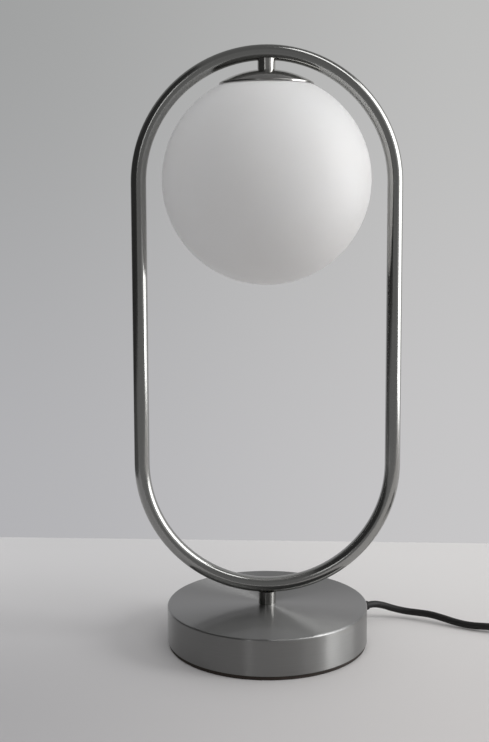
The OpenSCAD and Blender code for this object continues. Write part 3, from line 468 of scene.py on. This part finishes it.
# Bright zinc plate on steel fittings: silvery with a cool, slightly clouded bloom
zinc, tree = blank_material("bright_zinc_plate")
place = add(tree, "TexCoord").outputs["Object"]
bloom = add(tree, "TexNoise", {"Vector": place, "Scale": 1 / (5 * mm), "Detail": 3})
shader = add(tree, "BsdfPrincipled", {
    "Base Color": add(tree, "Mix", {"Factor": bloom, "A": linear("a6a9af"), "B": linear("cbcdd0")},
                      data_type="RGBA"),
    "Roughness": add(tree, "MapRange", {"Value": bloom, "From Min": 0.3, "From Max": 0.7,
                                        "To Min": 0.22, "To Max": 0.4}), "Metallic": 1})
add(tree, "OutputMaterial", {"Surface": shader})
finish(zinc, "bottom_plate", "bottom_screws", "base_washer", "base_nut", "cap_nut", "gallery_plate",
       "clamp_screws", "switch_screws")

# Threaded rods
# Hollow brass rods hold base, stem, cap and lampholder together and let the wires through.
# The screw shell and the contacts are of the same brass.

# Turned brass: bright yellow, with rings from the tool. A wave has 20 radians in a unit, so the
# rings are 1.6 mm apart here, coarser than the real ones so that they show
brass, tree = blank_material("turned_brass")
place = add(tree, "TexCoord").outputs["Object"]
tool_marks = add(tree, "TexWave", {
    "Vector": place, "Scale": 1 / (20 * 0.25 * mm), "Distortion": 0.4},
    wave_type="BANDS", bands_direction="Z")
cloudy = add(tree, "TexNoise", {"Vector": place, "Scale": 1 / (3 * mm)})
shader = add(tree, "BsdfPrincipled", {
    "Base Color": add(tree, "Mix", {"Factor": cloudy, "A": linear("c49c4c"), "B": linear("dcba72")},
                      data_type="RGBA"),
    "Roughness": add(tree, "MapRange", {"Value": cloudy, "From Min": 0.3, "From Max": 0.7,
                                        "To Min": 0.18, "To Max": 0.34}),
    "Normal": add(tree, "Bump", {"Height": tool_marks.outputs["Fac"], "Distance": 0.02 * mm}),
    "Metallic": 1})
add(tree, "OutputMaterial", {"Surface": shader})
finish(brass, "base_rod", "top_rod", "screw_shell", "centre_contact", "terminal_tubes",
       "switch_contacts")

# Loop
# Steel tube, 15 mm across, bent to an oval in one plane and joined over the stem, then
# plated. A fine belt has gone round its girth, so lights run along it as long crisp lines.
base_top, stem_h, loop_w, loop_run, tube_r = 39, 11, 261, 273, 7.5
arch_r = loop_w / 2 - tube_r
arch_low = base_top + stem_h + loop_w / 2
arch_high = arch_low + loop_run
run_steps, arch_steps = 24, 64
bm = bmesh.new()
bmesh.ops.create_circle(bm, segments=56, radius=tube_r * mm,
                        matrix=Matrix.Translation((arch_r * mm, 0, arch_low * mm)))


def drawn_up(edges, rise):
    """Draws the open end of the tube straight on."""
    for _ in range(run_steps):
        made = bmesh.ops.extrude_edge_only(bm, edges=edges)["geom"]
        edges = edges_of(made)
        bmesh.ops.translate(bm, vec=(0, 0, rise / run_steps * mm), verts=verts_of(made))
    return edges


def bent(edges, height):
    """Bends the open end of the tube through half a circle."""
    made = bmesh.ops.spin(
        bm, geom=edges + list({v for e in edges for v in e.verts}), cent=(0, 0, height * mm),
        axis=(0, -1, 0), angle=math.pi, steps=arch_steps)
    return edges_of(made["geom_last"])


open_end = drawn_up(bm.edges[:], loop_run)
open_end = bent(open_end, arch_high)
open_end = drawn_up(open_end, -loop_run)
bent(open_end, arch_low)
bmesh.ops.remove_doubles(bm, verts=bm.verts, dist=1e-6)
bmesh.ops.recalc_face_normals(bm, faces=bm.faces)
# A UV map in real metres: along the tube, and round it
along = bm.loops.layers.uv.new("along_tube")
half_arch = math.pi * arch_r
way_round = 2 * (half_arch + loop_run)


def on_tube(p):
    """How far along the tube's centre line a point is, and how far round the tube, in mm."""
    x, y, z = p / mm
    if z > arch_high:
        angle, out = math.atan2(z - arch_high, x), math.hypot(x, z - arch_high)
        along_mm = loop_run + arch_r * angle
    elif z < arch_low:
        angle, out = math.atan2(arch_low - z, -x), math.hypot(x, arch_low - z)
        along_mm = 2 * loop_run + half_arch + arch_r * angle
    else:
        out = abs(x)
        along_mm = z - arch_low if x > 0 else 2 * loop_run + half_arch - (z - arch_low)
    return along_mm, tube_r * math.atan2(y, out - arch_r)


spans = (way_round, math.tau * tube_r)
for face in bm.faces:
    middle = on_tube(face.calc_center_median())
    for corner in face.loops:
        spot = on_tube(corner.vert.co)
        corner[along].uv = [(s - round((s - m) / span) * span) * mm
                            for s, m, span in zip(spot, middle, spans)]

# Satin nickel again, polished finer than the base. The belt's strokes are drawn 0.5 mm wide
# and 25 mm long round the tube, coarser than the real ones, so faint that they only tint. The
# bending has left the tube very slightly wavy.
belted_nickel, tree = blank_material("satin_nickel_belt_polished")
spot = add(tree, "UVMap", uv_map="along_tube")
strokes = add(tree, "TexNoise", {
    "Vector": add(tree, "Mapping", {"Vector": spot, "Scale": (1 / (0.5 * mm), 1 / (25 * mm), 1)}),
    "Scale": 1, "Detail": 3, "Roughness": 0.6}, noise_dimensions="2D")
waves = add(tree, "TexNoise", {
    "Vector": add(tree, "Mapping", {"Vector": spot, "Scale": (1 / (14 * mm), 1 / (20 * mm), 1)}),
    "Scale": 1}, noise_dimensions="2D")
shader = add(tree, "BsdfPrincipled", {
    "Base Color": add(tree, "Mix", {
        "Factor": strokes, "A": linear("a3a3a1"), "B": linear("a9a9a7")}, data_type="RGBA"),
    "Roughness": add(tree, "MapRange", {"Value": strokes, "From Min": 0.3, "From Max": 0.7,
                                        "To Min": 0.145, "To Max": 0.155}),
    "Tangent": add(tree, "Tangent", direction_type="UV_MAP", uv_map="along_tube"),
    "Normal": add(tree, "Bump", {"Height": waves, "Distance": 0.002 * mm}),
    "Metallic": 1, "Anisotropic": 0.2})
add(tree, "OutputMaterial", {"Surface": shader})
shown("loop", made_mesh("loop", bm, 60), belted_nickel, nodes=["loop_tube"])

# Stem, stub and cap
# The two bushes are turned steel, cut at their ends to the tube's round shape. The cap is spun
# to a shallow dome that hugs the glass. All three are polished before they are plated.

# Nickel over polished steel: a mirror of a slightly warm grey, under a little haze
mirror_nickel, tree = blank_material("polished_nickel")
place = add(tree, "TexCoord").outputs["Object"]
haze = add(tree, "TexNoise", {"Vector": place, "Scale": 1 / (8 * mm)})
shader = add(tree, "BsdfPrincipled", {
    "Base Color": add(tree, "Mix", {"Factor": haze, "A": linear("a9a8a6"), "B": linear("b8b7b4")},
                      data_type="RGBA"),
    "Roughness": add(tree, "MapRange", {"Value": haze, "From Min": 0.3, "From Max": 0.7,
                                        "To Min": 0.13, "To Max": 0.19}), "Metallic": 1})
add(tree, "OutputMaterial", {"Surface": shader})
finish(mirror_nickel, "stem_bush", "top_bush")

# The cap is a part of a sphere with an even wall. Its rim is turned upright, with broken edges
stub_h, cap_rim, cap_rise, cap_wall, cap_bore = 8.5, 45, 12.7, 1.5, 5.3
cap_out = (cap_rim ** 2 + cap_rise ** 2) / (2 * cap_rise)
cap_in = cap_out - cap_wall
cap_z = arch_high + arch_r - tube_r - stub_h - cap_out
radii = [cap_bore + (cap_rim - 0.3 - cap_bore) * i / 24 for i in range(25)]
dome = [(r, cap_z + math.sqrt(cap_out ** 2 - r ** 2)) for r in radii]
under = [(r, cap_z + math.sqrt(cap_in ** 2 - r ** 2)) for r in reversed(radii)]
rim_edge = [(cap_rim - 0.12, dome[-1][1] - 0.15), (cap_rim, dome[-1][1] - 0.38),
            (cap_rim, under[0][1] + 0.12), (cap_rim - 0.1, under[0][1] - 0.02)]
bm = bmesh.new()
turned(bm, dome + rim_edge + under, 160)
shown("dome_cap", made_mesh("dome_cap", bm, 50), mirror_nickel,
      nodes=["globe_cap"])

# Gallery springs
# Three leaf springs of tempered steel strip bulge out under the edge of the glass and hold it.
# Heat has left the strip a little brown.
spring_steel, tree = blank_material("tempered_spring_steel")
place = add(tree, "TexCoord").outputs["Object"]
stain = add(tree, "TexNoise", {"Vector": place, "Scale": 1 / (5 * mm), "Detail": 4})
shader = add(tree, "BsdfPrincipled", {
    "Base Color": add(tree, "Mix", {"Factor": stain, "A": linear("827d74"), "B": linear("b2b2b0")},
                      data_type="RGBA"),
    "Roughness": add(tree, "MapRange", {"Value": stain, "From Min": 0.3, "From Max": 0.7,
                                        "To Min": 0.2, "To Max": 0.38}), "Metallic": 1})
add(tree, "OutputMaterial", {"Surface": shader})
finish(spring_steel, "gallery_springs")

# Lampholder
# Two white shells of heat proof plastic screw together round a glazed ceramic core. They have
# a soft gloss, and have yellowed a little with the bulb's heat.
warm_white, tree = blank_material("heat_proof_white_plastic")
place = add(tree, "TexCoord").outputs["Object"]
aged = add(tree, "TexNoise", {"Vector": place, "Scale": 1 / (14 * mm), "Detail": 3})
skin = add(tree, "TexNoise", {"Vector": place, "Scale": 1 / (1.5 * mm), "Detail": 3})
shader = add(tree, "BsdfPrincipled", {
    "Base Color": add(tree, "Mix", {"Factor": aged, "A": linear("dcd5c6"), "B": linear("f0eee8")},
                      data_type="RGBA"),
    "Roughness": add(tree, "MapRange", {"Value": skin, "From Min": 0.3, "From Max": 0.7,
                                        "To Min": 0.26, "To Max": 0.36}),
    "Normal": add(tree, "Bump", {"Height": skin, "Distance": 0.02 * mm}), "IOR": 1.55})
add(tree, "OutputMaterial", {"Surface": shader})
finish(warm_white, "holder_cap", "holder_skirt")
# Glaze over white ceramic: wet gloss that runs a little uneven over the body
glaze, tree = blank_material("glazed_ceramic")
place = add(tree, "TexCoord").outputs["Object"]
runs = add(tree, "TexNoise", {"Vector": place, "Scale": 1 / (3 * mm), "Detail": 3})
shader = add(tree, "BsdfPrincipled", {
    "Base Color": add(tree, "Mix", {"Factor": runs, "A": linear("e4e0d5"), "B": linear("f8f7f3")},
                      data_type="RGBA"),
    "Roughness": add(tree, "MapRange", {"Value": runs, "To Min": 0.12, "To Max": 0.2}),
    "Normal": add(tree, "Bump", {"Height": runs, "Distance": 0.06 * mm}),
    "IOR": 1.55, "Coat Weight": 0.5})
add(tree, "OutputMaterial", {"Surface": shader})
finish(glaze, "holder_core")

# Bulb
# A blown glass bulb, frosted inside, on a rolled aluminium screw cap that is cemented to it.

# Frosted inside: white and softly lit through, under the outside's smooth gloss
frosted, tree = blank_material("inside_frosted_glass")
place = add(tree, "TexCoord").outputs["Object"]
frost = add(tree, "TexNoise", {"Vector": place, "Scale": 1 / (10 * mm), "Detail": 3})
shader = add(tree, "BsdfPrincipled", {
    "Base Color": add(tree, "Mix", {"Factor": frost, "A": linear("e2e0d9"), "B": linear("f2f2ef")},
                      data_type="RGBA"),
    "Roughness": add(tree, "MapRange", {"Value": frost, "To Min": 0.18, "To Max": 0.26}),
    "IOR": 1.5,
    "Subsurface Weight": 0.3, "Subsurface Radius": (1, 1, 1), "Subsurface Scale": 2 * mm})
add(tree, "OutputMaterial", {"Surface": shader})
finish(frosted, "bulb_glass")
# Aluminium rolled to a thread: soft silver with the rollers' rub marks
rolled, tree = blank_material("rolled_aluminium")
place = add(tree, "TexCoord").outputs["Object"]
rubbed = add(tree, "TexNoise", {"Vector": place, "Scale": 1 / (0.8 * mm), "Detail": 4})
shader = add(tree, "BsdfPrincipled", {
    "Base Color": add(tree, "Mix", {"Factor": rubbed, "A": linear("bdbdbc"), "B": linear("d5d5d4")},
                      data_type="RGBA"),
    "Roughness": add(tree, "MapRange", {"Value": rubbed, "From Min": 0.3, "From Max": 0.7,
                                        "To Min": 0.25, "To Max": 0.42}),
    "Normal": add(tree, "Bump", {"Height": rubbed, "Distance": 0.03 * mm}), "Metallic": 1})
add(tree, "OutputMaterial", {"Surface": shader})
finish(rolled, "bulb_cap")

# Globe
# Opal glass, blown in a mould in two layers: clear over milk white, then etched to a satin
# face. Its mouth is ground flat, and the edge fire polished round.
globe_r, glass_t, mouth_r, cap_gap = 100, 2.5, 40, 0.4
globe_z = (cap_z + math.sqrt(cap_in ** 2 - cap_rim ** 2)
           - math.sqrt((globe_r + cap_gap) ** 2 - cap_rim ** 2))
bm = bmesh.new()
outer_end = math.asin((mouth_r + glass_t * 0.45) / globe_r)
inner_end = math.asin((mouth_r + glass_t * 0.05) / (globe_r - glass_t))
outside = [(globe_r * math.sin(a), -globe_r * math.cos(a) + globe_z) for a in
           ((math.pi - outer_end) * i / 96 for i in range(97))]
inside = [((globe_r - glass_t) * math.sin(a), -(globe_r - glass_t) * math.cos(a) + globe_z) for a in
          ((math.pi - inner_end) * i / 96 for i in range(96, -1, -1))]
lip_out, lip_in = Vector(outside[-1]), Vector(inside[0])
middle, across = (lip_out + lip_in) / 2, (lip_out - lip_in) / 2
lip = [tuple(middle + across * math.cos(t) + Vector((-across.y, across.x)) * math.sin(t) * 0.6)
       for t in (math.pi * i / 6 for i in range(1, 6))]
outside[0], inside[-1] = (0, outside[0][1]), (0, inside[-1][1])
turned(bm, outside + lip + inside, 160)
# Etched opal glass: nearly white, light sinks in a few millimetres and spreads, and the etched
# face has a soft broad sheen without any sharp spot
opal, tree = blank_material("etched_opal_glass")
place = add(tree, "TexCoord").outputs["Object"]
milk = add(tree, "TexNoise", {"Vector": place, "Scale": 1 / (45 * mm)})
blown = add(tree, "TexNoise", {"Vector": place, "Scale": 1 / (14 * mm)})
shader = add(tree, "BsdfPrincipled", {
    "Base Color": add(tree, "Mix", {"Factor": milk, "A": linear("f4f2ee"), "B": linear("f9f8f5")},
                      data_type="RGBA"),
    "Roughness": add(tree, "MapRange", {"Value": blown, "From Min": 0.3, "From Max": 0.7,
                                        "To Min": 0.54, "To Max": 0.6}),
    "Normal": add(tree, "Bump", {"Height": blown, "Distance": 0.05 * mm}), "IOR": 1.5,
    "Subsurface Weight": 0.85, "Subsurface Radius": (1, 1, 0.97), "Subsurface Scale": 6 * mm})
add(tree, "OutputMaterial", {"Surface": shader})
shown("opal_globe", made_mesh("opal_globe", bm, 60), opal, body="globe",
      nodes=["globe"])

# Cord entry
# A moulded rubber strain relief grips the cover's wall and tapers round the cord. Behind it a
# nylon bar clamps the cord to the weight, and a nylon block joins its cores to the wires.

# Moulded rubber: black with a dusty bloom, dull and finely grained
rubber, tree = blank_material("moulded_black_rubber")
place = add(tree, "TexCoord").outputs["Object"]
dusty = add(tree, "TexNoise", {"Vector": place, "Scale": 1 / (5 * mm)})
grain = add(tree, "TexNoise", {"Vector": place, "Scale": 1 / (0.6 * mm), "Detail": 3})
shader = add(tree, "BsdfPrincipled", {
    "Base Color": add(tree, "Mix", {"Factor": dusty, "A": linear("121111"), "B": linear("222020")},
                      data_type="RGBA"),
    "Roughness": add(tree, "MapRange", {"Value": grain, "To Min": 0.56, "To Max": 0.74}),
    "Normal": add(tree, "Bump", {"Height": grain, "Distance": 0.04 * mm}),
    "Specular IOR Level": 0.35})
add(tree, "OutputMaterial", {"Surface": shader})
finish(rubber, "cord_grommet")
# Uncoloured nylon: milky, a little yellow, waxy
nylon, tree = blank_material("natural_nylon")
place = add(tree, "TexCoord").outputs["Object"]
waxy = add(tree, "TexNoise", {"Vector": place, "Scale": 1 / (0.7 * mm), "Detail": 3})
shader = add(tree, "BsdfPrincipled", {
    "Base Color": add(tree, "Mix", {"Factor": waxy, "A": linear("d5d2c4"), "B": linear("e3e0d6")},
                      data_type="RGBA"),
    "Roughness": add(tree, "MapRange", {"Value": waxy, "To Min": 0.42, "To Max": 0.58}),
    "Normal": add(tree, "Bump", {"Height": waxy, "Distance": 0.03 * mm}), "IOR": 1.53,
    "Subsurface Weight": 0.2, "Subsurface Radius": (1, 1, 0.9), "Subsurface Scale": 2 * mm})
add(tree, "OutputMaterial", {"Surface": shader})
finish(nylon, "cord_clamp", "terminal_block")
finish(pvc, "inner_cord")
# Thin coloured insulation on the single wires: smooth, with a slight gloss
for name, dark, light, node in (("brown_wire_insulation", "4c2f1a", "6a442a", "live_wire"),
                                ("blue_wire_insulation", "224a86", "3063ae", "neutral_wire")):
    insulation, tree = blank_material(name)
    place = add(tree, "TexCoord").outputs["Object"]
    cloudy = add(tree, "TexNoise", {"Vector": place, "Scale": 1 / (3 * mm)})
    shader = add(tree, "BsdfPrincipled", {
        "Base Color": add(tree, "Mix", {"Factor": cloudy, "A": linear(dark), "B": linear(light)},
                          data_type="RGBA"),
        "Roughness": add(tree, "MapRange", {"Value": cloudy, "To Min": 0.32, "To Max": 0.48}),
        "IOR": 1.53})
    add(tree, "OutputMaterial", {"Surface": shader})
    finish(insulation, node)

# Table and wall
# A plain pale table top, matte with a very faint grain, in front of a plain light wall. The
# table is lit from the right, and its colour also holds a painted shade that darkens it a little
# to the front and to the left. The wall glows with painted light, lighter to the right.
bm = bmesh.new()
bmesh.ops.create_grid(bm, x_segments=1, y_segments=1, size=6)
table_top, tree = blank_material("pale_table_painted_shade")
place = add(tree, "TexCoord").outputs["Object"]
spot = add(tree, "SeparateXYZ", {"Vector": place}).outputs
grain = add(tree, "TexNoise", {"Vector": place, "Scale": 1 / (60 * mm)})
along_x = add(tree, "MapRange", {"Value": spot["X"], "From Min": -0.3, "From Max": 0.3},
              interpolation_type="SMOOTHSTEP")
along_y = add(tree, "MapRange", {"Value": spot["Y"], "From Min": -0.2, "From Max": 0.3},
              interpolation_type="SMOOTHSTEP")
# Painted shade: the colour is darker to the front and to the left, where the window's light falls
# off
front = add(tree, "Mix", {"Factor": along_x, "A": linear("c0bfc0"), "B": linear("e9e6e4")},
            data_type="RGBA")
back = add(tree, "Mix", {"Factor": along_x, "A": linear("e6e5e5"), "B": linear("f5f3f1")},
           data_type="RGBA")
shader = add(tree, "BsdfPrincipled", {
    "Base Color": add(tree, "Mix", {"Factor": along_y, "A": front, "B": back}, data_type="RGBA"),
    "Roughness": add(tree, "MapRange", {"Value": grain, "To Min": 0.7, "To Max": 0.8}),
    "Specular IOR Level": 0.04})
add(tree, "OutputMaterial", {"Surface": shader})
floor = bpy.data.objects.new("floor", made_mesh("floor", bm))
floor.data.materials.append(table_top)
bpy.context.scene.collection.objects.link(floor)

# The wall takes no part in the lighting and is clear from behind. Its front glows with painted
# light: lighter to the right, where the window's light falls, and darker higher up.
wall_y, wall_turn = 0.338, -2.3
bm = bmesh.new()
bmesh.ops.create_grid(
    bm, x_segments=1, y_segments=1, size=0.5,
    matrix=Matrix.Translation((0, wall_y, 1.5)) @ Matrix.Rotation(math.radians(wall_turn), 4, "Z")
    @ Matrix.Rotation(math.pi / 2, 4, "X") @ Matrix.Diagonal((5, 3, 1, 1)))
painted_wall_light, tree = blank_material("wall_painted_light")
spot = add(tree, "SeparateXYZ", {"Vector": add(tree, "TexCoord").outputs["Object"]}).outputs
risen = add(tree, "MapRange", {"Value": spot["Z"], "From Min": 0.0, "From Max": 0.75},
            interpolation_type="SMOOTHSTEP")
across = add(tree, "MapRange", {"Value": spot["X"], "From Min": -0.42, "From Max": 0.36},
             interpolation_type="SMOOTHSTEP")
# Painted light: the glow is darker to the left and higher up, and lighter to the right
left = add(tree, "Mix", {"Factor": risen, "A": linear("b2b2b5"), "B": linear("9fa0a0")},
           data_type="RGBA")
lit = add(tree, "Mix", {"Factor": risen, "A": linear("c8c7c8"), "B": linear("bebebd")},
          data_type="RGBA")
tone = add(tree, "Mix", {"Factor": across, "A": left, "B": lit}, data_type="RGBA")
add(tree, "OutputMaterial", {"Surface": add(tree, "MixShader", {
    0: add(tree, "NewGeometry").outputs["Backfacing"], 1: add(tree, "Emission", {"Color": tone}),
    2: add(tree, "BsdfTransparent")})})
wall_board = bpy.data.objects.new("wall", made_mesh("wall", bm))
wall_board.data.materials.append(painted_wall_light)
wall_board.visible_diffuse = wall_board.visible_shadow = False
bpy.context.scene.collection.objects.link(wall_board)

# Light
# Three broad far lights stand for the windows, in an even room light. What metal mirrors is on
# cards of its own: the tall window to the right, a narrow one far in front, and the dark room.
world = bpy.data.worlds.new("room")
world.use_nodes = True
sky = world.node_tree.nodes["Background"]
sky.inputs["Color"].default_value = linear("b2b2b3")
sky.inputs["Strength"].default_value = 1.13
bpy.context.scene.world = world
for name, way, angle, strength in (
        ("window_right", (2.75, -0.67, 1.4), 22, 0.9),
        ("window_side", (2.9, 0.4, 0.7), 34, 0.42),
        ("window_above", (0.8, -1.0, 2.1), 40, 0.24)):
    lamp_data = bpy.data.lights.new(name, "SUN")
    lamp_data.angle, lamp_data.energy = math.radians(angle), strength
    lamp = bpy.data.objects.new(name, lamp_data)
    lamp.rotation_euler = Vector(way).to_track_quat("Z", "Y").to_euler()
    lamp.visible_camera = lamp.visible_glossy = False
    bpy.context.scene.collection.objects.link(lamp)

# Each card: its colour and strength, its middle, its turn and tilt in degrees, and its size. Only
# mirrored rays meet the cards, so they cast no light or shadow and no camera sees them.
for name, code, strength, place, turn, tilt, width, height in (
        ("card_window_right", "ffffff", 6.2, (0.94, -0.26, 0.7), 90, 90, 0.34, 1.2),
        ("card_window_side", "ffffff", 3.6, (0.98, 0.14, 0.8), 90, 90, 0.5, 1.5),
        ("card_window_high", "ffffff", 3.0, (0.62, -0.33, 1.58), 62, 28.8, 0.32, 1.0),
        ("card_window_front", "ffffff", 2.0, (-0.95, -2.6, 1.15), -20, 90, 0.22, 0.9),
        ("card_front", "808080", 1.0, (-0.3, -3.3, 1.6), 0, 90, 6.0, 3.3),
        ("card_left", "3c3c3c", 1.0, (-1.6, -1.45, 1.6), 90, 90, 3.7, 3.3),
        ("card_right", "c4c4c4", 1.0, (2.7, -1.75, 1.6), 90, 90, 3.1, 3.3),
        ("card_above", "747474", 1.0, (0.3, -1.4, 3.2), 0, 0, 5.4, 4.4),
        ("card_low_front", "868686", 1.0, (0, -1.95, 0.002), 0, 0, 7.0, 2.8),
        ("card_low_left", "606060", 1.0, (-2.1, 0, 0.0015), 0, 0, 3.0, 5.0),
        ("card_wall_left", "383838", 1.0, (-1.6, 0.385, 1.5), wall_turn, 90, 2.2, 3.0),
        ("card_wall_right", "f6f6f6", 1.0, (1.65, 0.26, 1.5), wall_turn, 90, 2.1, 3.0),
        ("card_wall_above", "7c7c7c", 1.0, (0, 0.318, 1.95), wall_turn, 90, 5.0, 2.1)):
    card_paint, tree = blank_material(name)
    glow = add(tree, "Emission", {"Color": linear(code), "Strength": strength})
    add(tree, "OutputMaterial", {"Surface": glow})
    bm = bmesh.new()
    bmesh.ops.create_grid(
        bm, x_segments=1, y_segments=1, size=0.5,
        matrix=Matrix.Translation(place) @ Matrix.Rotation(math.radians(turn), 4, "Z")
        @ Matrix.Rotation(math.radians(tilt), 4, "X") @ Matrix.Diagonal((width, height, 1, 1)))
    card = bpy.data.objects.new(name, made_mesh(name, bm))
    card.data.materials.append(card_paint)
    card.visible_camera = card.visible_diffuse = card.visible_shadow = False
    bpy.context.scene.collection.objects.link(card)

bpy.context.scene.view_settings.view_transform = "Standard"
bpy.context.view_layer.update()
